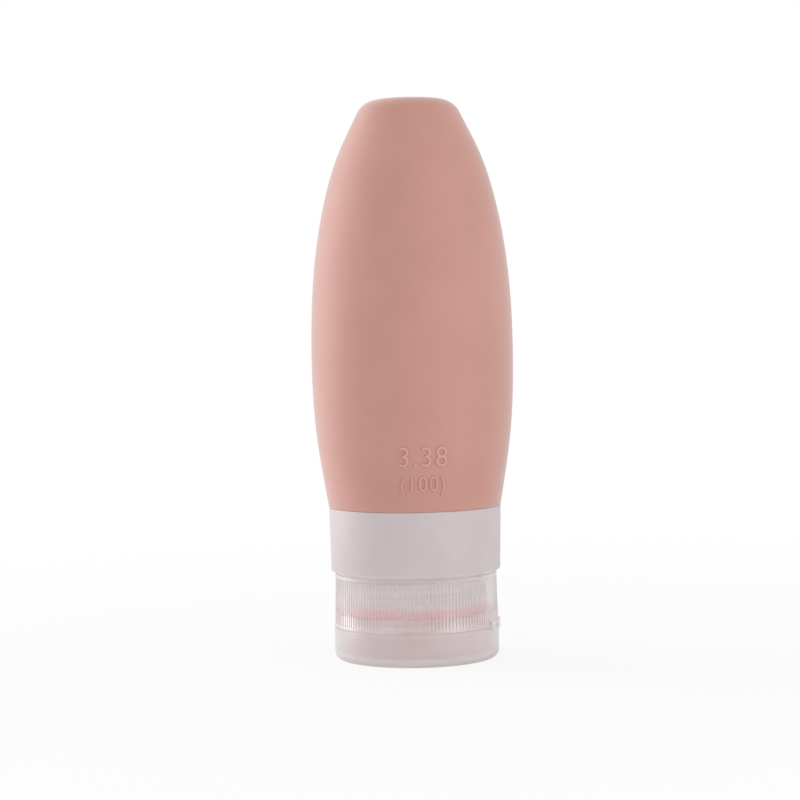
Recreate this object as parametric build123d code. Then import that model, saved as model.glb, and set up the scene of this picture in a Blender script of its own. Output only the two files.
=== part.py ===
# Travel bottle that stands on its flip cap: a soft silicone body whose neck is drawn through
# a clamping collar and folded over its threaded end, and a ribbed screw cap with a hinged lid.
# Millimetres, +Z up. The origin is on the bottle's axis, in the lid's flat face, which it stands on.
# The lid's hinge is on the +X side, and the thumb notch that opens it is on the -X side.
from build123d import *
import math
import os

# Whole bottle
bottle_height = 120.0
body_width = 43.3
overrun = 1.0
match_share = 1e-5

# Silicone body: one soft moulding with its neck and folded lip
body_wall = 1.7
neck_sleeve_wall = 1.5
tail_radius = 9.6
tail_wall = 2.6
tail_corner_radius = 4.8
tail_inner_corner_radius = 2.6
tail_dish_radius = 5.2
tail_dish_depth = 0.6
lip_overhang = 0.6
lip_thickness = 1.6
lip_edge_radius = 0.6
shoulder_ramp_height = 3.0
shoulder_slope_share = 0.18
# Stations of the flank: height as a share of the body above the collar. The swelling stations give
# their radius as a share of the way from the collar's edge out to the greatest width, and the
# narrowing ones as a share of the way from the tail's corner out to it.
swelling_shares = [
    (0.057, 0.27),
    (0.157, 0.687),
    (0.392, 1.0),
]
narrowing_shares = [
    (0.605, 0.913),
    (0.753, 0.724),
    (0.853, 0.507),
    (0.902, 0.352),
]

# Collar: a band that covers the body's shoulder, carried by a web on the threaded neck tube
neck_tube_radius = 14.0
collar_height = 13.8
collar_step = 4.2
collar_taper = 0.3
collar_wall = 1.6
collar_web = 1.7
collar_edge_radius = 0.35
neck_tube_wall = 1.1
neck_tube_length = 7.7
sleeve_clearance = 0.1

# Screw cap: a ribbed skirt, a deck that seals on the silicone lip, and a nozzle
skirt_wall = 2.32
cap_taper = 0.23
cap_gap = 0.6
cap_band_height = 0.7
cap_band_proud = 0.06
thread_height = 0.9
thread_clearance = 0.2
rib_count = 135
rib_depth = 0.25
rib_crest_share = 0.4
skirt_core_depth = 0.3
deck_recess = 1.2
deck_thickness = 1.5
spigot_depth = 1.2
spigot_wall = 1.0
orifice_radius = 4.8
nozzle_wall = 1.2
nozzle_foot = 0.4
seam_edge = 0.15
thumb_notch_radius = 12.0
thumb_notch_depth = 0.7
thumb_notch_height = 2.0

# Flip lid: a shallow cup with a ring plug that enters the nozzle
lid_height = 7.1
lid_step = 0.07
lid_wall = 1.3
lid_floor = 1.5
lid_corner_radius = 1.8
lid_clearance = 0.3
plug_wall = 0.9
plug_clearance = 0.3
plug_reach = 0.2

# Living hinge: two thin films and a snap strap between pads on the cap and on the lid
hinge_proud = 0.33
hinge_rise = 0.3
hinge_film_height = 1.0
hinge_film_thickness = 0.25
hinge_relief = 0.5
cap_pad_height = 0.5
lid_pad_height = 0.4
hinge_half_degrees = 15.0
film_inner_degrees = 6.0
strap_half_degrees = 3.5

# Slit valve that stops drips, and the ring that holds it in the deck
valve_seat_width = 2.4
valve_flange_thickness = 1.0
valve_clearance = 0.25
valve_dome_gap = 0.5
valve_dome_drop = 0.9
valve_dome_thickness = 0.7
slit_share = 0.6
slit_width = 0.12
ring_bore_gap = 0.4
ring_height = 1.4
ring_clearance = 0.05
socket_wall = 1.2
socket_rise = 0.2

# Heights, from the floor up
seam = lid_height
deck_outer = seam + deck_recess
deck_inner = deck_outer + deck_thickness
neck_end = deck_inner + lip_thickness
collar_bottom = neck_end + neck_tube_length
collar_top = collar_bottom + collar_height
shoulder_seat = collar_bottom + collar_web
cap_top = collar_bottom - cap_gap
body_height = bottle_height - collar_top
valve_seat = deck_inner - valve_flange_thickness
spigot_tip = seam - spigot_depth
hinge_height = seam + hinge_rise
film_bottom = hinge_height - hinge_film_height / 2
film_top = hinge_height + hinge_film_height / 2

# Radii that follow from the fits
neck_tube_bore = neck_tube_radius - neck_tube_wall
neck_radius = neck_tube_bore - sleeve_clearance
neck_bore = neck_radius - neck_sleeve_wall
lip_radius = neck_tube_radius + lip_overhang
collar_bottom_radius = neck_tube_radius + collar_step
collar_top_radius = collar_bottom_radius + collar_taper
band_bore = collar_bottom_radius - collar_wall
rebate_radius = band_bore - sleeve_clearance
skirt_bore = neck_tube_radius + thread_height + thread_clearance
cap_top_radius = skirt_bore + skirt_wall
cap_seam_radius = cap_top_radius + cap_taper
lid_radius = cap_seam_radius + lid_step
lid_bore = lid_radius - lid_wall
spigot_radius = lid_bore - lid_clearance
spigot_bore = spigot_radius - spigot_wall
plug_radius = orifice_radius - plug_clearance
hinge_pad_radius = lid_radius + hinge_proud
film_radius = hinge_pad_radius - hinge_film_thickness
nozzle_tip_radius = orifice_radius + nozzle_wall
valve_seat_radius = orifice_radius + valve_seat_width
nozzle_root_radius = valve_seat_radius + nozzle_foot
valve_dome_radius = orifice_radius - valve_dome_gap
ring_bore_radius = orifice_radius + ring_bore_gap
slit_length = 2 * valve_dome_radius * slit_share


def turned(*curves):
    """Turns a closed half outline, drawn as radius and height, round the bottle's axis."""
    edges = [edge for curve in curves for edge in curve.edges()]
    return revolve(Plane.XZ * make_face(edges), Axis.Z)


def turned_corners(*corners):
    """Turns a closed outline of straight runs, given as (radius, height) corners."""
    return turned(Polyline(*corners, close=True))


def sector(inner_radius, outer_radius, low, high, start_degrees, end_degrees):
    """A piece of ring between two heights and two angles from the +X side."""
    corners = [(inner_radius, low), (outer_radius, low), (outer_radius, high), (inner_radius, high)]
    face = Plane.XZ * make_face(Polyline(*corners, close=True))
    return revolve(face.rotate(Axis.Z, start_degrees), Axis.Z, end_degrees - start_degrees)


def circles_at(solid, height, radius):
    """The round edges of a turned solid that lie at one height and have one radius."""
    size = body_width * match_share
    rings = solid.edges().filter_by(GeomType.CIRCLE)
    return [ring for ring in rings if abs(ring.center().Z - height) < size and abs(ring.radius - radius) < size]


def flank_points(inset):
    """Stations of the flank from the collar upwards, moved in by a wall."""
    points = []
    for foot_radius, shares in ((collar_top_radius, swelling_shares), (tail_radius, narrowing_shares)):
        for height_share, radius_share in shares:
            radius = foot_radius + radius_share * (body_width / 2 - foot_radius)
            points.append((radius - inset, collar_top + height_share * body_height))
    return points


def tail_slope():
    """How fast the straight flank above the last station closes in on the tail's corner."""
    last_radius, last_height = flank_points(0)[-1]
    return (last_radius - tail_radius) / (bottle_height - last_height)


def make_silicone_body():
    """Outer form, less the cavity that runs out through the neck and the folded lip."""
    outer_points = [(collar_top_radius, collar_top)] + flank_points(0)
    flank_tangents = [(shoulder_slope_share, 1), (-tail_slope(), 1)]
    outer_flank = Spline(*outer_points, tangents=flank_tangents)
    dish_arc = RadiusArc(
        (tail_dish_radius, bottle_height),
        (0, bottle_height - tail_dish_depth),
        (tail_dish_radius**2 + tail_dish_depth**2) / (2 * tail_dish_depth),
    )
    outer = turned(
        Polyline(
            (0, deck_inner),
            (lip_radius, deck_inner),
            (lip_radius, neck_end),
            (neck_radius, neck_end),
            (neck_radius, shoulder_seat),
            (rebate_radius, shoulder_seat),
            (rebate_radius, collar_top),
            (collar_top_radius, collar_top),
        ),
        outer_flank,
        Polyline(outer_points[-1], (tail_radius, bottle_height), (tail_dish_radius, bottle_height)),
        dish_arc,
        Line((0, bottle_height - tail_dish_depth), (0, deck_inner)),
    )
    outer = fillet(circles_at(outer, bottle_height, tail_radius), tail_corner_radius)
    lip_edges = circles_at(outer, deck_inner, lip_radius) + circles_at(outer, neck_end, lip_radius)
    outer = fillet(lip_edges, lip_edge_radius)

    cavity_top = bottle_height - tail_wall
    cavity_points = flank_points(body_wall)
    cavity_tail_radius = tail_radius - body_wall + tail_wall * tail_slope()
    inner_flank = Spline(*cavity_points, tangents=flank_tangents)
    cavity = turned(
        Polyline(
            (0, deck_inner - overrun),
            (neck_bore, deck_inner - overrun),
            (neck_bore, shoulder_seat + body_wall),
            (rebate_radius - body_wall, shoulder_seat + body_wall + shoulder_ramp_height),
            (rebate_radius - body_wall, collar_top),
            cavity_points[0],
        ),
        inner_flank,
        Polyline(
            cavity_points[-1],
            (cavity_tail_radius, cavity_top),
            (0, cavity_top),
            (0, deck_inner - overrun),
        ),
    )
    cavity = fillet(circles_at(cavity, cavity_top, cavity_tail_radius), tail_inner_corner_radius)
    return outer - cavity


def make_neck_collar():
    """Tapered band, web and neck tube in one moulding, open all the way through."""
    collar = turned_corners(
        (neck_tube_bore, neck_end),
        (neck_tube_radius, neck_end),
        (neck_tube_radius, collar_bottom),
        (collar_bottom_radius, collar_bottom),
        (collar_top_radius, collar_top),
        (band_bore, collar_top),
        (band_bore, shoulder_seat),
        (neck_tube_bore, shoulder_seat),
    )
    edges = circles_at(collar, collar_bottom, collar_bottom_radius)
    return fillet(edges + circles_at(collar, collar_top, collar_top_radius), collar_edge_radius)


def rib_outline(crest_radius, height):
    """Closed outline of all the grip ribs at one height: flat crests with V grooves between."""
    step = 2 * math.pi / rib_count
    points = []
    for rib in range(rib_count):
        crest_start = rib * step
        crest_end = crest_start + step * rib_crest_share
        groove = (crest_end + crest_start + step) / 2
        for angle, radius in (
            (crest_start, crest_radius),
            (crest_end, crest_radius),
            (groove, crest_radius - rib_depth),
        ):
            points.append((radius * math.cos(angle), radius * math.sin(angle), height))
    return make_face(Polyline(*points, close=True))


def make_grip_ribs():
    """The ribbed ring of the skirt, which widens slightly towards the seam."""
    low = seam + cap_band_height
    high = cap_top - cap_band_height
    ribbed = loft(
        [
            rib_outline(cap_seam_radius - cap_band_proud, low),
            rib_outline(cap_top_radius - cap_band_proud, high),
        ],
        ruled=True,
    )
    bore_radius = cap_top_radius - rib_depth - 2 * skirt_core_depth
    return ribbed - turned_corners((0, low - overrun), (bore_radius, low - overrun),
                                   (bore_radius, high + overrun), (0, high + overrun))


def make_cap_base():
    """Skirt, deck, nozzle, valve socket and lid spigot, with the grip ribs, notch and hinge pad."""
    low = seam + cap_band_height
    high = cap_top - cap_band_height
    core_depth = rib_depth + skirt_core_depth
    socket_radius = valve_seat_radius + socket_wall
    socket_top = deck_inner + ring_height + socket_rise
    cap = turned_corners(
        (orifice_radius, spigot_tip),
        (nozzle_tip_radius, spigot_tip),
        (nozzle_root_radius, deck_outer),
        (spigot_bore, deck_outer),
        (spigot_bore, spigot_tip),
        (spigot_radius, spigot_tip),
        (spigot_radius, seam),
        (cap_seam_radius, seam),
        (cap_seam_radius, low),
        (cap_seam_radius - core_depth, low),
        (cap_top_radius - core_depth, high),
        (cap_top_radius, high),
        (cap_top_radius, cap_top),
        (skirt_bore, cap_top),
        (skirt_bore, deck_inner),
        (socket_radius, deck_inner),
        (socket_radius, socket_top),
        (valve_seat_radius, socket_top),
        (valve_seat_radius, valve_seat),
        (orifice_radius, valve_seat),
    )
    rims = circles_at(cap, seam, cap_seam_radius) + circles_at(cap, cap_top, cap_top_radius)
    cap = chamfer(rims, seam_edge)
    cap += make_grip_ribs()
    pad_bore = cap_seam_radius - core_depth
    cap += sector(pad_bore, hinge_pad_radius, film_top, film_top + cap_pad_height,
                  -hinge_half_degrees, hinge_half_degrees)
    cap -= sector(film_radius - hinge_relief, hinge_pad_radius + overrun, seam - overrun, film_top,
                  -hinge_half_degrees, hinge_half_degrees)
    notch_centre = -(cap_seam_radius + thumb_notch_radius - thumb_notch_depth)
    notch = Cylinder(thumb_notch_radius, thumb_notch_height + overrun,
                     align=(Align.CENTER, Align.CENTER, Align.MIN))
    return cap - Pos(notch_centre, 0, seam - overrun) * notch


def make_flip_lid():
    """Cup with a flat standing face, a ring plug and the hinge pad."""
    plug_top = seam + plug_reach
    lid = turned_corners(
        (0, 0),
        (lid_radius, 0),
        (lid_radius, seam),
        (lid_bore, seam),
        (lid_bore, lid_floor),
        (plug_radius, lid_floor),
        (plug_radius, plug_top),
        (plug_radius - plug_wall, plug_top),
        (plug_radius - plug_wall, lid_floor),
        (0, lid_floor),
    )
    lid = fillet(circles_at(lid, 0, lid_radius), lid_corner_radius)
    lid = chamfer(circles_at(lid, seam, lid_radius) + circles_at(lid, plug_top, plug_radius), seam_edge)
    lid += sector(lid_bore, hinge_pad_radius, film_bottom - lid_pad_height, film_bottom,
                  -hinge_half_degrees, hinge_half_degrees)
    return lid - sector(film_radius - hinge_relief, hinge_pad_radius + overrun, film_bottom, seam + overrun,
                        -hinge_half_degrees, hinge_half_degrees)


def make_hinge_films():
    """The two outer films of the living hinge, one each side of the snap strap."""
    left = sector(film_radius, hinge_pad_radius, film_bottom, film_top, film_inner_degrees, hinge_half_degrees)
    return left + mirror(left, Plane.XZ)


def make_snap_strap():
    """The middle strap, which pulls the lid over to open or shut."""
    return sector(film_radius, hinge_pad_radius, film_bottom, film_top, -strap_half_degrees, strap_half_degrees)


def make_slit_valve():
    """Flanged silicone disc, domed towards the nozzle, with a cross slit."""
    tip = valve_seat - valve_dome_drop
    dome_top = tip + valve_dome_thickness
    flange_top = deck_inner
    dome_arc_radius = (valve_dome_radius**2 + valve_dome_drop**2) / (2 * valve_dome_drop)
    inside_drop = flange_top - dome_top
    inside_arc_radius = (valve_dome_radius**2 + inside_drop**2) / (2 * inside_drop)
    flange_radius = valve_seat_radius - valve_clearance
    valve = turned(
        RadiusArc((0, tip), (valve_dome_radius, valve_seat), -dome_arc_radius),
        Polyline(
            (valve_dome_radius, valve_seat),
            (flange_radius, valve_seat),
            (flange_radius, flange_top),
            (valve_dome_radius, flange_top),
        ),
        RadiusArc((valve_dome_radius, flange_top), (0, dome_top), inside_arc_radius),
        Line((0, dome_top), (0, tip)),
    )
    slit = Box(slit_length, slit_width, 2 * valve_dome_drop)
    slits = slit + slit.rotate(Axis.Z, 90)
    return valve - Pos(0, 0, tip) * slits


def make_valve_ring():
    """Snap ring that holds the valve's flange down in the deck's socket."""
    radius = valve_seat_radius - ring_clearance
    return turned_corners(
        (ring_bore_radius, deck_inner),
        (radius, deck_inner),
        (radius, deck_inner + ring_height),
        (ring_bore_radius, deck_inner + ring_height),
    )


parts = {
    "silicone_body": make_silicone_body,
    "neck_collar": make_neck_collar,
    "cap_base": make_cap_base,
    "flip_lid": make_flip_lid,
    "hinge_films": make_hinge_films,
    "snap_strap": make_snap_strap,
    "slit_valve": make_slit_valve,
    "valve_ring": make_valve_ring,
}

os.makedirs("parts", exist_ok=True)
for name, make in parts.items():
    shape = make()
    export_step(shape, f"parts/{name}.step")
    print(name, "solids", len(shape.solids()), "volume", round(shape.volume, 1))
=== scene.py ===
# %% [markdown]
# # A soft travel bottle that stands on its flip cap
#
# The body is one squeezable silicone moulding. Its neck goes through a frosted collar and folds
# over the collar's threaded tube. A ribbed screw cap closes it, and its hinged lid is the foot.
# This lesson dresses the imported CAD model: every piece is built in metres, in the CAD's own frame,
# and the rigid ones are then told which moving body they ride on.

# %% Load the fixed frame
import math

import bmesh
import bpy
import numpy as np
from mathutils import Matrix, Vector


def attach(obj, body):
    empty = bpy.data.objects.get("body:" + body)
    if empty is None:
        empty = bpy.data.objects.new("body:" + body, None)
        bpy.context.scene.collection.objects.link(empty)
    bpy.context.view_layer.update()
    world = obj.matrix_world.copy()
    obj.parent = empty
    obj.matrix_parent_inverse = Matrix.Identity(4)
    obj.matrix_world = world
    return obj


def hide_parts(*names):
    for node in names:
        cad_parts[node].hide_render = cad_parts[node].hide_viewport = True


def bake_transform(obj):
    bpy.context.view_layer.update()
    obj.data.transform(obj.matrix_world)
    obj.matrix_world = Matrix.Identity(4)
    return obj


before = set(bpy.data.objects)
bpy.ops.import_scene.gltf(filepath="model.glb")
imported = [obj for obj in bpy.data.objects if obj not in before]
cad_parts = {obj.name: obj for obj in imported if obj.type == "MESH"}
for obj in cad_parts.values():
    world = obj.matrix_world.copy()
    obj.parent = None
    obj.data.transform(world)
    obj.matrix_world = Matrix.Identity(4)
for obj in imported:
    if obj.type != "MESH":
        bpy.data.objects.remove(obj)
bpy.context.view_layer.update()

# %% [markdown]
# ## Sizes
#
# The whole bottle could be drawn with numbers typed where they are used. It is safer to name each
# size once, with the same values as the CAD source, so that every piece meets its neighbours.
# Lengths are in millimetres here and become metres when a point is placed.

# %% Sizes of the body and the collar
mm = 0.001
bottle_height = 120.0
half_width = 21.65
body_wall = 1.7
tail_radius = 9.6
tail_wall = 2.6
tail_corner = 4.8
tail_dish_radius = 5.2
tail_dish_depth = 0.6
shoulder_radius = 16.5
neck_radius = 12.8
neck_bore = 11.3
lip_radius = 14.6
lip_edge = 0.6

neck_tube_radius = 14.0
tube_bore = 12.9
band_bore = 16.6
collar_bottom_radius = 18.2
collar_top_radius = 18.5

# %% Heights above the standing face
seam = 7.1
deck_outer = 8.3
valve_seat = 8.8
deck_inner = 9.8
neck_end = 11.4
cap_top = 18.5
collar_bottom = 19.1
shoulder_seat = 20.8
collar_top = 32.9

# %% Sizes of the cap, the lid and the hinge
cap_top_radius = 17.42
cap_seam_radius = 17.65
skirt_bore = 15.1
spigot_radius = 16.12
spigot_bore = 15.12
spigot_tip = 5.9
nozzle_tip_radius = 6.0
nozzle_root_radius = 7.6
orifice_radius = 4.8
socket_radius = 8.4
socket_bore = 7.2
socket_top = 11.4

lid_radius = 17.72
lid_bore = 16.42
lid_floor = 1.5
lid_corner = 1.8
plug_radius = 4.5
plug_bore = 3.6
plug_tip = 7.3

hinge_pad_radius = 18.05
relief_radius = 17.3
film_thickness = 0.25
film_bottom = 6.9
film_top = 7.9

# %% [markdown]
# ## Helpers for turned pieces
#
# Almost everything here is round. A lathe shape could be a screw modifier or a cylinder with many
# extrusions. Drawing the half outline by extruding one vertex, and spinning it round the axis, is
# the most direct way: the outline reads like the drawing of the part, with the walls in it.

# %% Select pieces and their points
def start_fresh():
    """Leaves edit mode and selects nothing, because the imported CAD pieces stay selected."""
    if bpy.context.object and bpy.context.object.mode != "OBJECT":
        bpy.ops.object.mode_set(mode="OBJECT")
    bpy.ops.object.select_all(action="DESELECT")


def choose(piece):
    """Selects one piece alone and makes it active."""
    start_fresh()
    piece.select_set(True)
    bpy.context.view_layer.objects.active = piece


def edit(piece):
    """Opens one piece in edit mode with all of it selected."""
    choose(piece)
    bpy.ops.object.mode_set(mode="EDIT")
    bpy.ops.mesh.select_all(action="SELECT")


def pick(piece, test):
    """Selects the vertices whose place passes a test, with the edges and faces between them."""
    mesh = bmesh.from_edit_mesh(piece.data)
    for vertex in mesh.verts:
        vertex.select = bool(test(vertex.co))
    mesh.select_flush_mode()
    bmesh.update_edit_mesh(piece.data)


def on_ring(radius, height, near=2e-6):
    """A test for the vertices of one ring, given in millimetres."""
    def test(place):
        off_radius = math.hypot(place.x, place.y) - radius * mm
        return abs(off_radius) < near and abs(place.z - height * mm) < near
    return test


# %% Draw a half outline
def draw_outline(name, corners):
    """A new piece in edit mode: one vertex, extruded from corner to corner of (radius, height)."""
    start_fresh()
    bpy.ops.mesh.primitive_plane_add(size=mm)
    piece = bpy.context.object
    piece.name = piece.data.name = name
    bpy.ops.object.mode_set(mode="EDIT")
    bpy.ops.mesh.merge(type="CENTER")
    places = [Vector((radius * mm, 0, height * mm)) for radius, height in corners]
    bpy.ops.transform.translate(value=places[0])
    for before, after in zip(places, places[1:]):
        bpy.ops.mesh.extrude_region_move(TRANSFORM_OT_translate={"value": after - before})
    bpy.ops.mesh.select_all(action="SELECT")
    return piece


def spin_round(degrees, steps):
    """Spins what is selected round the bottle's axis."""
    bpy.ops.mesh.spin(steps=steps, angle=math.radians(degrees), center=(0, 0, 0), axis=(0, 0, 1))


def close_shell():
    """Turns all faces outwards and leaves edit mode."""
    bpy.ops.mesh.select_all(action="SELECT")
    bpy.ops.mesh.normals_make_consistent(inside=False)
    bpy.ops.object.mode_set(mode="OBJECT")


def soften(piece, degrees):
    """Shades a piece smooth, apart from edges that are sharper than an angle."""
    choose(piece)
    bpy.ops.object.shade_smooth_by_angle(angle=math.radians(degrees))


# %% Spin an outline into a piece
def turn_outline(name, corners, steps=192, bevels=(), smooth_degrees=40):
    """Spins a half outline, and rounds the rings in bevels: (radius, height, setback, segments)."""
    piece = draw_outline(name, corners)
    spin_round(360, steps)
    bpy.ops.mesh.select_all(action="SELECT")
    bpy.ops.mesh.remove_doubles(threshold=1e-6)
    for radius, height, setback, segments in bevels:
        pick(piece, on_ring(radius, height))
        bpy.ops.mesh.bevel(offset=setback * mm, segments=segments, affect="EDGES",
                           clamp_overlap=True)
    close_shell()
    soften(piece, smooth_degrees)
    return piece


def report(piece):
    """Prints a piece's triangles and whether it is a closed shell."""
    mesh = bmesh.new()
    mesh.from_mesh(piece.data)
    open_edges = sum(1 for edge in mesh.edges if not edge.is_manifold)
    print(piece.name, "triangles", sum(len(face.verts) - 2 for face in mesh.faces),
          "open edges", open_edges, "volume mm3", round(mesh.calc_volume(signed=True) / mm**3, 1))
    mesh.free()


# %% [markdown]
# ## Shader helpers
#
# A material can be wired by hand, link by link. Here a small class wraps a socket, so shader maths
# reads like ordinary arithmetic, and one method adds every other kind of node.

# %% Wrap a socket
class Wire:
    """One shader socket. Arithmetic on it adds Math nodes to the same material."""

    def __init__(self, tree, socket):
        self.tree = tree
        self.socket = socket

    def math(self, operation, *values):
        return node(self.tree, "ShaderNodeMath", {"operation": operation}, dict(enumerate(values)))

    def __add__(self, other):
        return self.math("ADD", self, other)

    def __radd__(self, other):
        return self.math("ADD", other, self)

    def __sub__(self, other):
        return self.math("SUBTRACT", self, other)

    def __rsub__(self, other):
        return self.math("SUBTRACT", other, self)

    def __mul__(self, other):
        return self.math("MULTIPLY", self, other)

    def __rmul__(self, other):
        return self.math("MULTIPLY", other, self)

    def __abs__(self):
        return self.math("ABSOLUTE", self)

    def larger(self, other):
        """The larger of two values."""
        return self.math("MAXIMUM", self, other)

    def step_up(self, low, high):
        """0 below low and 1 above high, with a smooth step between."""
        return node(self.tree, "ShaderNodeMapRange", {"interpolation_type": "SMOOTHSTEP"},
                    {"Value": self, "From Min": low, "From Max": high}, "Result")


def node(tree, kind, settings=None, inputs=None, output=0):
    """Adds a node: its settings first, then the values or wires of its sockets."""
    made = tree.nodes.new(kind)
    for key, value in (settings or {}).items():
        setattr(made, key, value)
    for key, value in (inputs or {}).items():
        if isinstance(value, Wire):
            tree.links.new(value.socket, made.inputs[key])
        else:
            made.inputs[key].default_value = value
    return Wire(tree, made.outputs[output])


# %% Start and finish a material
def new_material(name, **constants):
    """A material with its Principled shader's constant sockets set, its tree and that shader."""
    material = bpy.data.materials.new(name)
    material.use_nodes = True
    shader = material.node_tree.nodes["Principled BSDF"]
    for key, value in constants.items():
        shader.inputs[key.replace("_", " ")].default_value = value
    return material, material.node_tree, shader


def finish_material(tree, shader, colour, roughness, bumps):
    """Wires what varies: colour, roughness, and a chain of bumps of (height, depth in mm)."""
    tree.links.new(colour.socket, shader.inputs["Base Color"])
    tree.links.new(roughness.socket, shader.inputs["Roughness"])
    before = {}
    for height, depth in bumps:
        inputs = {"Strength": 1.0, "Distance": depth * mm, "Height": height, **before}
        before = {"Normal": node(tree, "ShaderNodeBump", inputs=inputs)}
    tree.links.new(before["Normal"].socket, shader.inputs["Normal"])


# %% Patterns that stay with the piece
def object_place(tree):
    """Object coordinates, in metres."""
    return node(tree, "ShaderNodeTexCoord", output="Object")


def upright(vector):
    """The Z part of a vector: of a place, its height."""
    return node(vector.tree, "ShaderNodeSeparateXYZ", inputs={"Vector": vector}, output="Z")


def noise(place, size, detail=2.0, roughness=0.5):
    """Smooth noise from 0 to 1, whose features are about size millimetres across."""
    inputs = {"Vector": place, "Scale": 1 / (size * mm), "Detail": detail, "Roughness": roughness}
    return node(place.tree, "ShaderNodeTexNoise", {"noise_dimensions": "3D"}, inputs, "Fac")


def tint(mask, first, second):
    """A colour that goes from first to second as the mask goes from 0 to 1."""
    first, second = ((*colour, 1) if isinstance(colour, tuple) else colour
                     for colour in (first, second))
    return node(mask.tree, "ShaderNodeMix", {"data_type": "RGBA"},
                {0: mask, 6: first, 7: second}, 2)


# %% [markdown]
# ## Silicone finish
#
# The body is matte, soft-touch silicone: even pink, a grain too fine to see as bumps, faint clouds
# in the colour, and a pale haze where the surface turns away. The haze could be painted on, but it
# would then stay put as the light moves. A layer of sheen gives it from any side.

# %% Silicone material
sheen_tint = (1.0, 0.97, 0.96, 1)
silicone, tree, shader = new_material(
    "matte_pink_silicone", Specular_IOR_Level=0.4, Sheen_Weight=0.85, Sheen_Roughness=0.4,
    Sheen_Tint=sheen_tint)
place = object_place(tree)
clouds = noise(place, 14, detail=3)
dust = noise(place, 2.2, detail=4, roughness=0.7).step_up(0.66, 0.8)
pink = tint(clouds.step_up(0.3, 0.7), (0.615, 0.305, 0.25), (0.645, 0.325, 0.272))
pink = tint(dust * 0.16, pink, (0.74, 0.52, 0.48))
finish_material(tree, shader, pink, 0.52 + clouds * 0.08 + dust * 0.1,
                [(noise(place, 0.35, detail=2), 0.02), (noise(place, 9, detail=2), 0.12)])

# %% [markdown]
# ## Silicone body
#
# Outside and inside of the body are one outline: from the dished tail down the flank, in under the
# collar, through the neck, out round the folded lip, and back up the cavity. The flank could be a
# subdivided cage, but a clamped cubic curve through measured stations keeps it on the CAD form.

# %% Stations of the flank
swelling_shares = ((0.057, 0.27), (0.157, 0.687), (0.392, 1.0))
narrowing_shares = ((0.605, 0.913), (0.753, 0.724), (0.853, 0.507), (0.902, 0.352))
shoulder_slope = 0.18
stations = [(collar_top, collar_top_radius)]
for foot_radius, shares in ((collar_top_radius, swelling_shares), (tail_radius, narrowing_shares)):
    for height_share, radius_share in shares:
        stations.append((collar_top + height_share * (bottle_height - collar_top),
                         foot_radius + radius_share * (half_width - foot_radius)))
heights, radii = np.array(stations).T
tail_slope = (radii[-1] - tail_radius) / (bottle_height - heights[-1])

# %% Slopes of a smooth curve through the stations
gaps = np.diff(heights)
rises = np.diff(radii) / gaps
system = np.eye(len(heights))
wanted = np.zeros(len(heights))
wanted[0], wanted[-1] = shoulder_slope, -tail_slope
for index in range(1, len(heights) - 1):
    before, after = 1 / gaps[index - 1], 1 / gaps[index]
    system[index, index - 1:index + 2] = before, 2 * (before + after), after
    wanted[index] = 3 * (rises[index - 1] * before + rises[index] * after)
slopes = np.linalg.solve(system, wanted)


def flank_radius(height):
    """Radius of the body's outer face at a height above the collar, in millimetres."""
    if height >= heights[-1]:
        return radii[-1] - tail_slope * (height - heights[-1])
    index = max(0, int(np.searchsorted(heights, height, side="right")) - 1)
    span = gaps[index]
    share = (height - heights[index]) / span
    return ((1 + 2 * share) * (1 - share)**2 * radii[index]
            + share * (1 - share)**2 * span * slopes[index]
            + share**2 * (3 - 2 * share) * radii[index + 1]
            + share**2 * (share - 1) * span * slopes[index + 1])


widest = max(flank_radius(height) for height in np.linspace(collar_top, bottle_height, 400))
print("widest radius in mm:", round(widest, 2))

# %% Body outline
cavity_top = bottle_height - tail_wall
cavity_radius = shoulder_radius - body_wall
cavity_slope_rise = 3.0
mouth_edge = 0.4
dish = [(tail_dish_radius * share, bottle_height - tail_dish_depth * (1 - share**2))
        for share in (0, 0.2, 0.4, 0.6, 0.8, 1)]
flank = [(flank_radius(height), height) for height in np.linspace(heights[-1], collar_top, 64)]
neck_and_lip = [
    (shoulder_radius, collar_top),
    (shoulder_radius, shoulder_seat),
    (neck_radius, shoulder_seat),
    (neck_radius, neck_end),
    (lip_radius, neck_end),
    (lip_radius, deck_inner),
    (neck_bore, deck_inner),
    (neck_bore, shoulder_seat + body_wall),
    (cavity_radius, shoulder_seat + body_wall + cavity_slope_rise),
    (cavity_radius, collar_top),
]
cavity = [(flank_radius(height) - body_wall, height)
          for height in np.linspace(heights[1], heights[-1], 48)]
cavity += [(tail_radius - body_wall + tail_wall * tail_slope, cavity_top), (0, cavity_top)]

# %% Turn the body
half_corner = (math.pi / 2 - math.atan(tail_slope)) / 2
body = turn_outline(
    "body_silicone", dish + [(tail_radius, bottle_height)] + flank + neck_and_lip + cavity,
    steps=224, bevels=[
        (tail_radius, bottle_height, tail_corner * math.tan(half_corner), 10),
        (lip_radius, neck_end, lip_edge, 4),
        (lip_radius, deck_inner, lip_edge, 4),
        (neck_bore, deck_inner, mouth_edge, 3),
    ])
body.data.materials.append(silicone)
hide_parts("silicone_body")
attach(body, "bottle")
report(body)
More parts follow.
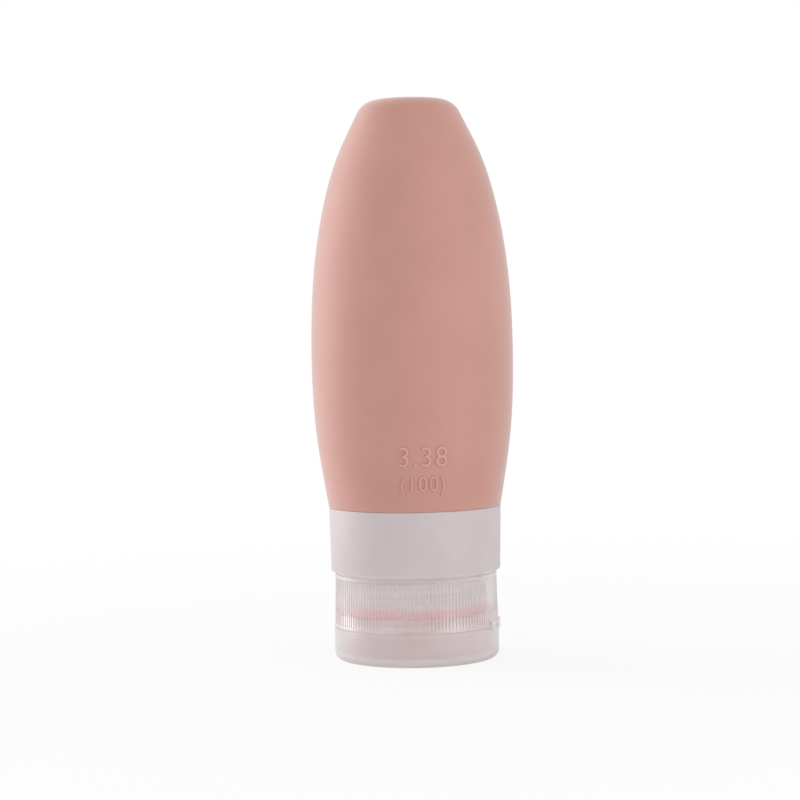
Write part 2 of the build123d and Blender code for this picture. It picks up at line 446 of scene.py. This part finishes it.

# %% [markdown]
# ## Raised numbers
#
# Low at the front, two small lines of plain numbers are moulded with the body, with soft edges.
# They could be a bump in the material, but a real relief also shows from the side, so the text
# becomes a mesh, is remeshed evenly, smoothed, and laid round the flank. Its colour is painted a
# little paler than the body: a painted highlight for the soft light that the raised strokes catch.

# %% Finish of the numbers
numbers_silicone, tree, shader = new_material(
    "raised_number_silicone", Specular_IOR_Level=0.4, Sheen_Weight=0.3, Sheen_Roughness=0.4,
    Sheen_Tint=sheen_tint)
place = object_place(tree)
clouds = noise(place, 14, detail=3)
# painted highlight: the numbers' pink is paler than the body's
finish_material(tree, shader,
                tint(clouds.step_up(0.3, 0.7), (0.68, 0.37, 0.315), (0.71, 0.39, 0.335)),
                0.45 + clouds * 0.06, [(noise(place, 0.35, detail=2), 0.015)])

# %% Model the numbers
text_azimuth = -71.8
half_depth = 0.3
relief = 0.28
sunk = 0.12
voxel = 0.075


def text_mesh(name, words, size, width):
    """Flat text as a mesh about the origin, stretched to a width in millimetres."""
    start_fresh()
    bpy.ops.object.text_add()
    text = bpy.context.object
    text.name = name
    text.data.body = words
    text.data.size = size * mm
    text.data.align_x = "CENTER"
    text.data.align_y = "CENTER"
    text.data.space_character = 1.12
    text.data.extrude = half_depth * mm
    text.data.resolution_u = 6
    bpy.ops.object.convert(target="MESH")
    piece = bpy.context.object
    edit(piece)
    bpy.ops.mesh.remove_doubles(threshold=1e-6)
    stretch = width * mm / piece.dimensions.x
    bpy.ops.transform.resize(value=(stretch, 1, 1), center_override=(0, 0, 0))
    bpy.ops.object.mode_set(mode="OBJECT")
    return piece


def raise_numbers(name, words, size, width, centre_height):
    """Text as a soft relief on the flank, centred at a height."""
    piece = text_mesh(name, words, size, width)
    remesh = piece.modifiers.new("Even skin", "REMESH")
    remesh.mode = "VOXEL"
    remesh.voxel_size = voxel * mm
    bpy.ops.object.modifier_apply(modifier=remesh.name)
    edit(piece)
    bpy.ops.mesh.vertices_smooth(factor=0.5, repeat=5)
    bpy.ops.object.mode_set(mode="OBJECT")
    for vertex in piece.data.vertices:
        across, up, out = vertex.co / mm
        height = centre_height + up
        raised = relief * (out / half_depth + 1) / 2 - (sunk if out < 0 else 0)
        radius = flank_radius(height) + raised
        angle = math.radians(text_azimuth) + across / flank_radius(height)
        vertex.co = Vector((radius * math.cos(angle), radius * math.sin(angle), height)) * mm
    bpy.ops.object.shade_smooth()
    piece.data.materials.append(numbers_silicone)
    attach(piece, "bottle")
    report(piece)


raise_numbers("raised_numbers_upper", "3.38", size=6.0, width=10.1, centre_height=44.3)
raise_numbers("raised_numbers_lower", "(100)", size=4.4, width=9.2, centre_height=38.7)

# %% [markdown]
# ## Frosted collar
#
# The collar clamps the body's shoulder. Its band, web and threaded tube are one polypropylene
# moulding, with a frosted face. A plain rough grey would look like paint, so the material has pits
# too small to count, slow clouds as the plastic flowed, and a pale band painted on the tube in the
# gap under the lower edge: painted light that lifts the shade there.

# %% Collar material
frosted, tree, shader = new_material("frosted_polypropylene", Specular_IOR_Level=0.4)
place = object_place(tree)
z = upright(place)
flow = noise(place, 11, detail=3)
pits = noise(place, 0.22, detail=2, roughness=0.6)
gap_low = 17.4
gap_high = 18.3
lower_edge = 1 - abs(z - collar_bottom * mm).step_up(0.0, 0.5 * mm)
rub = lower_edge * noise(place, 1.4, detail=4, roughness=0.7).step_up(0.5, 0.7)
# painted light: a pale band on the tube in the shaded gap under the collar's lower edge
painted_gap_light = 1 - z.step_up((collar_bottom - 0.1) * mm, (collar_bottom + 0.4) * mm)
painted_gap_light = painted_gap_light * z.step_up(gap_low * mm, gap_high * mm)
milk = tint(flow.step_up(0.3, 0.7), (0.65, 0.58, 0.59), (0.69, 0.61, 0.62))
milk = tint(rub * 0.5, milk, (0.74, 0.72, 0.72))
milk = tint(painted_gap_light, milk, (0.90, 0.86, 0.86))
finish_material(tree, shader, milk, 0.42 + flow * 0.1 - rub * 0.12,
                [(pits, 0.02), (noise(place, 6), 0.06)])

# %% Turn the collar
collar_edge = 0.35
tube_root = 0.3
tube_edge = 0.2
collar = turn_outline("collar_band", [
    (tube_bore, neck_end),
    (neck_tube_radius, neck_end),
    (neck_tube_radius, collar_bottom),
    (collar_bottom_radius, collar_bottom),
    (collar_top_radius, collar_top),
    (band_bore, collar_top),
    (band_bore, shoulder_seat),
    (tube_bore, shoulder_seat),
    (tube_bore, neck_end),
], bevels=[
    (collar_bottom_radius, collar_bottom, collar_edge, 4),
    (collar_top_radius, collar_top, collar_edge, 4),
    (neck_tube_radius, collar_bottom, tube_root, 3),
    (neck_tube_radius, neck_end, tube_edge, 2),
])

# %% [markdown]
# ## Threads
#
# The tube's thread could be left out, but it shows as dim bands through the cap. A thread could be
# rings, which don't climb. A screw modifier winds a drawn trapezoid up the tube as a real helix,
# and the ends are then scaled back into the wall, as a moulded thread runs out.

# %% Wind a thread
thread_pitch = 3.0
thread_root_lap = 0.05
neck_thread_height = 1.0
thread_foot_half = 0.75
thread_crest_half = 0.3
run_outs_per_turn = 12


def run_out(piece, root, start_height, turns, start_degrees):
    """Lowers a thread into its wall over the first and the last twelfth of a turn."""
    for vertex in piece.data.vertices:
        angle = (math.degrees(math.atan2(vertex.co.y, vertex.co.x)) - start_degrees) % 360
        along = (vertex.co.z / mm - start_height) / thread_pitch
        turn = angle / 360 + round(along - angle / 360)
        fade = min(1.0, max(0.0, min(turn, turns - turn)) * run_outs_per_turn)
        radius = math.hypot(vertex.co.x, vertex.co.y)
        lowered = root * mm + (radius - root * mm) * fade
        vertex.co.x *= lowered / radius
        vertex.co.y *= lowered / radius


def wind_thread(name, root, crest, start_height, turns, start_degrees):
    """A helical thread: a drawn trapezoid, wound by a screw modifier, with closed ends."""
    piece = draw_outline(name, [
        (root, start_height - thread_foot_half),
        (crest, start_height - thread_crest_half),
        (crest, start_height + thread_crest_half),
        (root, start_height + thread_foot_half),
    ])
    bpy.ops.mesh.edge_face_add()
    bpy.ops.transform.rotate(value=-math.radians(start_degrees), orient_axis="Z",
                             center_override=(0, 0, 0))
    bpy.ops.mesh.delete(type="ONLY_FACE")
    bpy.ops.object.mode_set(mode="OBJECT")
    screw = piece.modifiers.new("Wind", "SCREW")
    screw.axis = "Z"
    screw.angle = 2 * math.pi * turns
    screw.screw_offset = thread_pitch * turns * mm
    screw.steps = screw.render_steps = int(96 * turns)
    bpy.ops.object.modifier_apply(modifier=screw.name)
    edit(piece)
    bpy.ops.mesh.select_all(action="DESELECT")
    bpy.ops.mesh.select_non_manifold()
    bpy.ops.mesh.fill_holes(sides=8)
    close_shell()
    run_out(piece, root, start_height, turns, start_degrees)
    soften(piece, 40)
    return piece


neck_thread = wind_thread("neck_thread", neck_tube_radius - thread_root_lap,
                          neck_tube_radius + neck_thread_height,
                          start_height=13.0, turns=1.5, start_degrees=-200)
for piece in (collar, neck_thread):
    piece.data.materials.append(frosted)
    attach(piece, "bottle")
    report(piece)
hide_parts("neck_collar")

# %% [markdown]
# ## Translucent cap finish
#
# Cap and lid are natural polypropylene. It is milky: light goes in, is scattered, and comes out
# again, so the pink lip behind it shows as a soft band, which a painted pink glow in the colour
# strengthens. Glass would be too sharp and plain white too solid. Alpha lies between them: each
# surface covers part of what is behind it, and more towards the edges, where light crosses more
# plastic. The inner faces are painted with the pink light that the lip would scatter into them.
# Shadow and bounce rays meet less cover than the view does, so what is inside stays lit.

# %% Cap material
lip_middle = 10.2
deck_middle = 9.0
edge_cover = 0.6
light_through = 0.75
flow_white = (0.93, 0.90, 0.905)
painted_deck_glow = (0.78, 0.56, 0.56)
painted_lip_glow = (0.78, 0.27, 0.27)
painted_foot_shade = (0.74, 0.62, 0.63)
worn_white = (0.93, 0.92, 0.92)


def milky(name, outside, inside, inner_radius, glow, cover, inner_cover, deck_cover,
          foot_cover, **constants):
    """Milky polypropylene with flow marks and fine wear, and painted pink light from the silicone
    inside.

    cover is the share of what lies behind that a surface outside inner_radius hides, and
    inner_cover the share that one inside it hides. deck_cover and foot_cover are added where the
    deck and the foot thicken the plastic, and glow is how strongly the lip shines through: as less
    cover, and as a painted pink glow in the colour. inside is the colour of the inner faces, painted
    with the pink light that the lip would throw on them."""
    material, tree, shader = new_material(name, **constants)
    place = object_place(tree)
    z = upright(place)
    level = node(tree, "ShaderNodeVectorMath", {"operation": "MULTIPLY"},
                 {0: place, 1: (1, 1, 0)})
    radius = node(tree, "ShaderNodeVectorMath", {"operation": "LENGTH"}, {0: level}, "Value")
    outer = radius.step_up((inner_radius - 0.4) * mm, (inner_radius + 0.4) * mm)
    outer = outer.larger(1 - z.step_up(0.6 * mm, 1.2 * mm))

    halo = 1 - abs(z - lip_middle * mm).step_up(0.6 * mm, 3.6 * mm)
    deck_edge = 1 - abs(z - deck_middle * mm).step_up(0.7 * mm, 1.7 * mm)
    foot_face = 1 - z.step_up(0.0, 0.5 * mm)
    foot_edge = 1 - z.step_up(0.6 * mm, 2.4 * mm)
    foot_wall = 1 - z.step_up(1.2 * mm, 2.6 * mm)

    flow = noise(place, 8, detail=3)
    scuffs = noise(place, 1.6, detail=5, roughness=0.75).step_up(0.66, 0.8)
    scrapes = noise(place, 1.2, detail=4, roughness=0.7).step_up(0.45, 0.65)
    rub = scuffs * 0.3 + foot_face * scrapes * 0.3
    # inside holds painted pink light that the lip would scatter onto the inner faces
    colour = tint(outer, inside, outside)
    colour = tint(flow.step_up(0.3, 0.7) * 0.15, colour, flow_white)
    # painted glow: the lip's pink laid on the deck and round the lip, where it would shine through
    colour = tint(deck_edge * (1 - outer * 0.6) * glow, colour, painted_deck_glow)
    colour = tint(halo * (1 - outer * 0.9) * glow, colour, painted_lip_glow)
    # painted shade: the lid's foot edge darker and greyer, where it turns down to the floor
    colour = tint(foot_edge * 0.7, colour, painted_foot_shade)
    colour = tint(rub * 0.4, colour, worn_white)
    finish_material(tree, shader, colour, 0.2 + flow * 0.08 + rub * 0.25,
                    [(noise(place, 7, detail=1), 0.03)])

    facing = node(tree, "ShaderNodeLayerWeight", inputs={"Blend": 0.5}, output="Facing")
    flat = abs(upright(node(tree, "ShaderNodeTexCoord", output="Normal")))
    added = cover - inner_cover + facing * (1 - flat) * edge_cover + deck_edge * deck_cover
    added = added - halo * (1 - facing) * (glow * 0.1)
    alpha = (inner_cover + outer * added + (1 - outer) * halo * (glow * 0.7)
             + foot_wall * foot_cover)
    shadow_ray = node(tree, "ShaderNodeLightPath", output="Is Shadow Ray")
    bounce_ray = Wire(tree, shadow_ray.socket.node.outputs["Is Diffuse Ray"])
    alpha = alpha * (1 - shadow_ray.larger(bounce_ray) * light_through)
    tree.links.new(alpha.socket, shader.inputs["Alpha"])
    return material


# the inside colours are painted pink light from the silicone lip
cap_plastic = milky(
    "milky_cap_plastic", outside=(0.76, 0.705, 0.71), inside=(0.90, 0.73, 0.73), inner_radius=16.2,
    glow=0.8, cover=0.36, inner_cover=0.25, deck_cover=0.3, foot_cover=0.0,
    Specular_IOR_Level=0.7, Coat_Weight=1.0, Coat_Roughness=0.3, Coat_IOR=2.3)
lid_plastic = milky(
    "milky_lid_plastic", outside=(0.74, 0.68, 0.69), inside=(0.74, 0.44, 0.45), inner_radius=17.0,
    glow=0.0, cover=0.45, inner_cover=0.5, deck_cover=0.0, foot_cover=0.2,
    Specular_IOR_Level=0.6, Coat_Weight=0.7, Coat_Roughness=0.28, Coat_IOR=1.6)

# %% [markdown]
# ## Screw cap
#
# The cap's skirt has 135 fine grip ribs. They could be 135 boxes, but ribs that belong to the skirt
# catch the light better and keep the shell closed. The outline is spun in eight steps per rib, and
# the steps that fall in a groove are then scaled inwards.

# %% Turn the cap
rib_count = 135
steps_per_rib = 8
plain_band = 0.7
ease = 0.12
rib_proud = 0.06
rim_chamfer = 0.15
cap_smooth_degrees = 32
cap = turn_outline("screw_cap", [
    (orifice_radius, spigot_tip),
    (nozzle_tip_radius, spigot_tip),
    (nozzle_root_radius, deck_outer),
    (spigot_bore, deck_outer),
    (spigot_bore, spigot_tip),
    (spigot_radius, spigot_tip),
    (spigot_radius, seam),
    (cap_seam_radius - ease, seam),
    (cap_seam_radius, seam + ease),
    (cap_seam_radius, seam + plain_band),
    (cap_seam_radius - rib_proud, seam + plain_band + ease),
    (cap_top_radius - rib_proud, cap_top - plain_band - ease),
    (cap_top_radius, cap_top - plain_band),
    (cap_top_radius, cap_top - rim_chamfer),
    (cap_top_radius - rim_chamfer, cap_top),
    (skirt_bore, cap_top),
    (skirt_bore, deck_inner),
    (socket_radius, deck_inner),
    (socket_radius, socket_top),
    (socket_bore, socket_top),
    (socket_bore, valve_seat),
    (orifice_radius, valve_seat),
    (orifice_radius, spigot_tip),
], steps=rib_count * steps_per_rib, smooth_degrees=cap_smooth_degrees)

# %% Press the grooves in
groove_depths = {4: 0.09, 5: 0.21, 6: 0.21, 7: 0.09}
skirt_inside = 17.0


def in_groove(column):
    """A test for one column of points out of each rib's eight, between the plain bands."""
    def test(place):
        low, high = seam + plain_band + 0.05, cap_top - plain_band - 0.05
        if not (low < place.z / mm < high and math.hypot(place.x, place.y) / mm > skirt_inside):
            return False
        turn = math.atan2(place.y, place.x) / (2 * math.pi) * rib_count * steps_per_rib
        return round(turn) % steps_per_rib == column
    return test


edit(cap)
for column, depth in groove_depths.items():
    pick(cap, in_groove(column))
    factor = 1 - depth / cap_top_radius
    bpy.ops.transform.resize(value=(factor, factor, 1), center_override=(0, 0, 0))
start_fresh()

# %% [markdown]
# ## Cuts and pads at the hinge
#
# Under the films the cap and the lid step back, and each has a small pad that the films grow from.
# A boolean with a sector-shaped cutter is the clean way, because the cut crosses many spun faces.
# The thumb notch on the other side is cut by a short round bar.

# %% Cut and join with sectors
def add_sector(name, inner, outer, low, high, half_degrees):
    """A piece of ring about the +X side: a drawn rectangle spun through an angle, ends closed."""
    piece = draw_outline(name, [(inner, low), (outer, low), (outer, high), (inner, high)])
    bpy.ops.mesh.edge_face_add()
    bpy.ops.transform.rotate(value=math.radians(-half_degrees), orient_axis="Z",
                             center_override=(0, 0, 0))
    spin_round(2 * half_degrees, max(6, int(half_degrees * 2)))
    close_shell()
    return piece


def combine(piece, tool, operation):
    """Cuts a tool out of a piece, or joins it on, and removes the tool."""
    choose(piece)
    boolean = piece.modifiers.new(operation, "BOOLEAN")
    boolean.operation = operation
    boolean.solver = "EXACT"
    boolean.object = tool
    bpy.ops.object.modifier_apply(modifier=boolean.name)
    bpy.data.objects.remove(tool)


# %% Pad, relief and thumb notch of the cap
pad_half_degrees = 14.9
relief_half_degrees = 15
cap_pad_inner = cap_seam_radius - 0.5
cap_pad_height = 0.5
cap_pad_lap = 0.3
notch_radius = 12.0
notch_centre = cap_seam_radius + 11.3
notch_height = seam + 0.5
notch_depth = 3.0
cap_pad = add_sector("cap_pad", cap_pad_inner, hinge_pad_radius, film_top - cap_pad_lap,
                     film_top + cap_pad_height, pad_half_degrees)
combine(cap, cap_pad, "UNION")
cap_relief = add_sector("cap_relief", relief_radius, hinge_pad_radius + 1, seam - 1, film_top,
                        relief_half_degrees)
combine(cap, cap_relief, "DIFFERENCE")
start_fresh()
bpy.ops.mesh.primitive_cylinder_add(vertices=192, radius=notch_radius * mm, depth=notch_depth * mm,
                                    location=(-notch_centre * mm, 0, notch_height * mm))
combine(cap, bpy.context.object, "DIFFERENCE")
cap.data.materials.clear()
cap.data.materials.append(cap_plastic)
soften(cap, cap_smooth_degrees)
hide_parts("cap_base")
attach(cap, "cap")
report(cap)

# %% Thread inside the skirt, clear of the silicone lip as the cap comes down
lip_clearance = 0.05
skirt_thread = wind_thread("skirt_thread", skirt_bore + thread_root_lap, lip_radius + lip_clearance,
                           start_height=13.1, turns=1.35, start_degrees=-20)
skirt_thread.data.materials.append(cap_plastic)
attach(skirt_thread, "cap")
report(skirt_thread)

# %% [markdown]
# ## Flip lid
#
# The lid is the bottle's foot: a flat face with a rounded edge, and a ring plug inside that shuts
# the nozzle. It is spun like the cap. Its round edge could be drawn point by point, but a bevel of
# nine segments on the one corner says the same in fewer words.

# %% Turn the lid
lid_inner_corner = 0.8
lid_pad_inner = 16.8
lid_pad_height = 0.4
lid_pad_lap = 0.15
lid = turn_outline("flip_lid_cup", [
    (0, 0),
    (lid_radius, 0),
    (lid_radius, seam - ease),
    (lid_radius - ease, seam),
    (lid_bore, seam),
    (lid_bore, lid_floor),
    (plug_radius, lid_floor),
    (plug_radius, plug_tip - rim_chamfer),
    (plug_radius - rim_chamfer, plug_tip),
    (plug_bore, plug_tip),
    (plug_bore, lid_floor),
    (0, lid_floor),
], steps=256, bevels=[
    (lid_radius, 0, lid_corner, 9),
    (lid_bore, lid_floor, lid_inner_corner, 4),
])
lid_pad = add_sector("lid_pad", lid_pad_inner, hinge_pad_radius, film_bottom - lid_pad_height,
                     film_bottom + lid_pad_lap, pad_half_degrees)
combine(lid, lid_pad, "UNION")
lid_relief = add_sector("lid_relief", relief_radius, hinge_pad_radius + 1, film_bottom, seam + 1,
                        relief_half_degrees)
combine(lid, lid_relief, "DIFFERENCE")
lid.data.materials.clear()
lid.data.materials.append(lid_plastic)
soften(lid, cap_smooth_degrees)
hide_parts("flip_lid")
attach(lid, "lid")
report(lid)

# %% [markdown]
# ## Living hinge
#
# Two thin films and a strap between them join lid and cap. They bend, so they are cut in rows. The
# rows lie closer than bisect's own merging distance, so it gets a smaller one. Each could be one
# flat strip, but a real film is thinnest at its middle, so the middle rows are drawn in.

# %% Hinge films and strap
film_rows = 12


def make_film(name, start_degrees, end_degrees, waist):
    """A thin curved strip between the pads, divided in rows so that it can bend."""
    piece = add_sector(name, hinge_pad_radius - film_thickness, hinge_pad_radius, film_bottom,
                       film_top, (end_degrees - start_degrees) / 2)
    edit(piece)
    for row in range(1, film_rows):
        height = film_bottom + (film_top - film_bottom) * row / film_rows
        bpy.ops.mesh.select_all(action="SELECT")
        bpy.ops.mesh.bisect(plane_co=(0, 0, height * mm), plane_no=(0, 0, 1), threshold=1e-7)
    bpy.ops.mesh.select_all(action="SELECT")
    middle = math.radians((start_degrees + end_degrees) / 2)
    bpy.ops.transform.rotate(value=-middle, orient_axis="Z", center_override=(0, 0, 0))
    bpy.ops.object.mode_set(mode="OBJECT")
    for vertex in piece.data.vertices:
        radius = math.hypot(vertex.co.x, vertex.co.y) / mm
        share = (vertex.co.z / mm - film_bottom) / (film_top - film_bottom)
        if radius < hinge_pad_radius - 0.1:
            factor = (radius + waist * math.sin(math.pi * share)) / radius
            vertex.co.x *= factor
            vertex.co.y *= factor
    bpy.ops.object.shade_smooth_by_angle(angle=math.radians(50))
    piece.data.materials.append(cap_plastic)
    return piece


left_film = make_film("hinge_film_left", start_degrees=6, end_degrees=15, waist=0.08)
right_film = make_film("hinge_film_right", start_degrees=-15, end_degrees=-6, waist=0.08)
strap = make_film("snap_strap_strip", start_degrees=-3.5, end_degrees=3.5, waist=0.03)
for piece, cad_node in ((left_film, "hinge_films"), (right_film, "hinge_films"),
                        (strap, "snap_strap")):
    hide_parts(cad_node)
    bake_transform(piece)
    report(piece)

# %% [markdown]
# ## Slit valve and its ring
#
# A small domed disc of soft silicone closes the nozzle until the bottle is squeezed, and a snap
# ring holds it. Both are hidden when the lid is shut, but they show once it is opened. The slits
# could be dark lines in the material, but they are thin cuts here, because there the disc parts.

# %% Valve materials
def hazy(name, size, dark, pale, rough, grain, **constants):
    """A see-through plastic or silicone with clouds of a size in its colour and a fine grain."""
    material, tree, shader = new_material(name, Alpha=0.4, **constants)
    place = object_place(tree)
    haze = noise(place, size, detail=3)
    finish_material(tree, shader, tint(haze.step_up(0.3, 0.7), dark, pale), rough + haze * 0.12,
                    [(noise(place, grain), 0.012)])
    return material


clear_silicone = hazy(
    "clear_valve_silicone", size=3, dark=(0.82, 0.80, 0.78), pale=(0.88, 0.86, 0.85), rough=0.32,
    grain=0.4, Specular_IOR_Level=0.5)
natural_plastic = hazy(
    "natural_ring_plastic", size=4, dark=(0.80, 0.78, 0.77), pale=(0.86, 0.84, 0.84), rough=0.36,
    grain=0.6, Specular_IOR_Level=0.45)

# %% Turn the valve
valve_radius = 6.95
dome_radius = 4.3
dome_tip = valve_seat - 0.9
dome_wall = 0.7
valve_edge = 0.12


def dome(tip, rim, steps=8):
    """Points of a shallow dome from the axis to its rim, as (radius, height)."""
    return [(dome_radius * step / steps, tip + (rim - tip) * (step / steps)**2)
            for step in range(steps + 1)]


outer_dome = dome(dome_tip, valve_seat)
inner_dome = dome(dome_tip + dome_wall, deck_inner)[::-1]
flange = [(valve_radius, valve_seat), (valve_radius, deck_inner)]
valve = turn_outline("valve_disc", outer_dome + flange + inner_dome, steps=128,
                     bevels=[(*corner, valve_edge, 2) for corner in flange])

# %% Cut its two slits
slit_size = (5.0, 0.12, 2.4)
for degrees in (0, 90):
    start_fresh()
    bpy.ops.mesh.primitive_cube_add(size=mm, location=(0, 0, dome_tip * mm))
    slit = bpy.context.object
    edit(slit)
    bpy.ops.transform.resize(value=slit_size, center_override=(0, 0, dome_tip * mm))
    bpy.ops.transform.rotate(value=math.radians(degrees), orient_axis="Z",
                             center_override=(0, 0, 0))
    combine(valve, slit, "DIFFERENCE")
valve.data.materials.clear()
valve.data.materials.append(clear_silicone)
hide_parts("slit_valve")
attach(valve, "valve")
report(valve)

# %% Turn the snap ring
ring_radius = 7.15
ring_bore = 5.2
ring_top = deck_inner + 1.4
ring = turn_outline("valve_snap_ring", [
    (ring_bore, deck_inner),
    (ring_radius, deck_inner),
    (ring_radius, ring_top),
    (ring_bore, ring_top),
    (ring_bore, deck_inner),
], steps=160, bevels=[(ring_radius, ring_top, 0.2, 3), (ring_bore, ring_top, 0.3, 3)])
ring.data.materials.append(natural_plastic)
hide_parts("valve_ring")
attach(ring, "cap")
report(ring)

# %% [markdown]
# ## Studio
#
# The bottle stands on a plain white floor against white. The white comes from what camera rays see,
# by Light Path, so that no extra light falls on the bottle. The floor keeps the shadow and lets the
# rest of the view through to the white world, so a lid that is swung open below it still shows.
# Seen from below it lets everything through.

# %% Floor
floor_clear = 0.85
shadow_near = 0.03
shadow_far = 0.3
start_fresh()
bpy.ops.mesh.primitive_plane_add(size=4.0)
floor = bpy.context.object
floor.name = "studio_floor"
white, tree, shader = new_material("white_floor", Roughness=0.9, Specular_IOR_Level=0.1,
                                   Base_Color=(0.9, 0.9, 0.9, 1))
seen = node(tree, "ShaderNodeLightPath", output="Is Camera Ray")
from_below = node(tree, "ShaderNodeNewGeometry", output="Backfacing")
distance = node(tree, "ShaderNodeVectorMath", {"operation": "LENGTH"}, {0: object_place(tree)},
                "Value")
far = distance.step_up(shadow_near, shadow_far)
through = from_below.larger(seen * (floor_clear + (1 - floor_clear) * far))
solid = Wire(tree, shader.outputs["BSDF"])
clear = node(tree, "ShaderNodeBsdfTransparent")
mixed = node(tree, "ShaderNodeMixShader", inputs={0: through, 1: solid, 2: clear})
tree.links.new(mixed.socket, tree.nodes["Material Output"].inputs["Surface"])
floor.data.materials.append(white)

# %% World
studio_level = 0.72
world = bpy.data.worlds.new("white_studio")
bpy.context.scene.world = world
world.use_nodes = True
tree = world.node_tree
camera_ray = node(tree, "ShaderNodeLightPath", output="Is Camera Ray")
rays = camera_ray.socket.node.outputs
glossy_ray = Wire(tree, rays["Is Glossy Ray"])
through_ray = Wire(tree, rays["Is Transmission Ray"])
white_view = camera_ray.larger((glossy_ray * 0.4).larger(through_ray))
strength = studio_level + white_view * (1 - studio_level)
background = tree.nodes["Background"]
background.inputs["Color"].default_value = (1, 1, 1, 1)
tree.links.new(strength.socket, background.inputs["Strength"])

# %% [markdown]
# ## Lights and camera
#
# A tall soft box behind the bottle on the left gives the pale left edge, and a weaker one on the
# right the softer edge there. The camera is a long lens half a metre away, a little above the
# middle and tipped down. Points and lengths here are in metres.

# %% Lights
camera_azimuth = -77.0
bottle_middle = Vector((0, 0, bottle_height * mm / 2))


def toward(azimuth):
    """The level direction from the bottle's axis at an azimuth in degrees."""
    return Vector((math.cos(math.radians(azimuth)), math.sin(math.radians(azimuth)), 0))


def add_soft_box(name, azimuth, distance, height, width, tall, power):
    """An area lamp that faces the bottle's middle."""
    start_fresh()
    place = toward(azimuth) * distance + Vector((0, 0, height))
    bpy.ops.object.light_add(type="AREA", location=place)
    lamp = bpy.context.object
    lamp.name = name
    lamp.data.shape = "RECTANGLE"
    lamp.data.size = width
    lamp.data.size_y = tall
    lamp.data.energy = power
    lamp.rotation_euler = (bottle_middle - place).to_track_quat("-Z", "Y").to_euler()


add_soft_box("soft_box_left", camera_azimuth - 112, distance=0.7, height=0.19,
             width=0.34, tall=0.8, power=3.45)
add_soft_box("soft_box_right", camera_azimuth + 55, distance=0.9, height=0.15,
             width=0.4, tall=0.8, power=2.2)

# %% Camera
image_width = 800
focal_length_in_pixels = 2342
camera_distance = 0.504
camera_height = 0.0767
target_height = 0.0556
target_left = 0.0028
camera_roll = -1.0
start_fresh()
bpy.ops.object.camera_add()
camera = bpy.context.object
camera.name = "studio_camera"
camera.data.sensor_width = 36.0
camera.data.lens = camera.data.sensor_width * focal_length_in_pixels / image_width
position = toward(camera_azimuth) * camera_distance + Vector((0, 0, camera_height))
target = Vector((0, 0, target_height)) - toward(camera_azimuth + 90) * target_left
turned = (target - position).to_track_quat("-Z", "Y").to_matrix().to_4x4()
roll = Matrix.Rotation(math.radians(camera_roll), 4, "Z")
camera.matrix_world = Matrix.Translation(position) @ turned @ roll
bpy.context.scene.camera = camera
bpy.context.scene.view_settings.view_transform = "Standard"
bpy.context.scene.cycles.transparent_max_bounces = 32
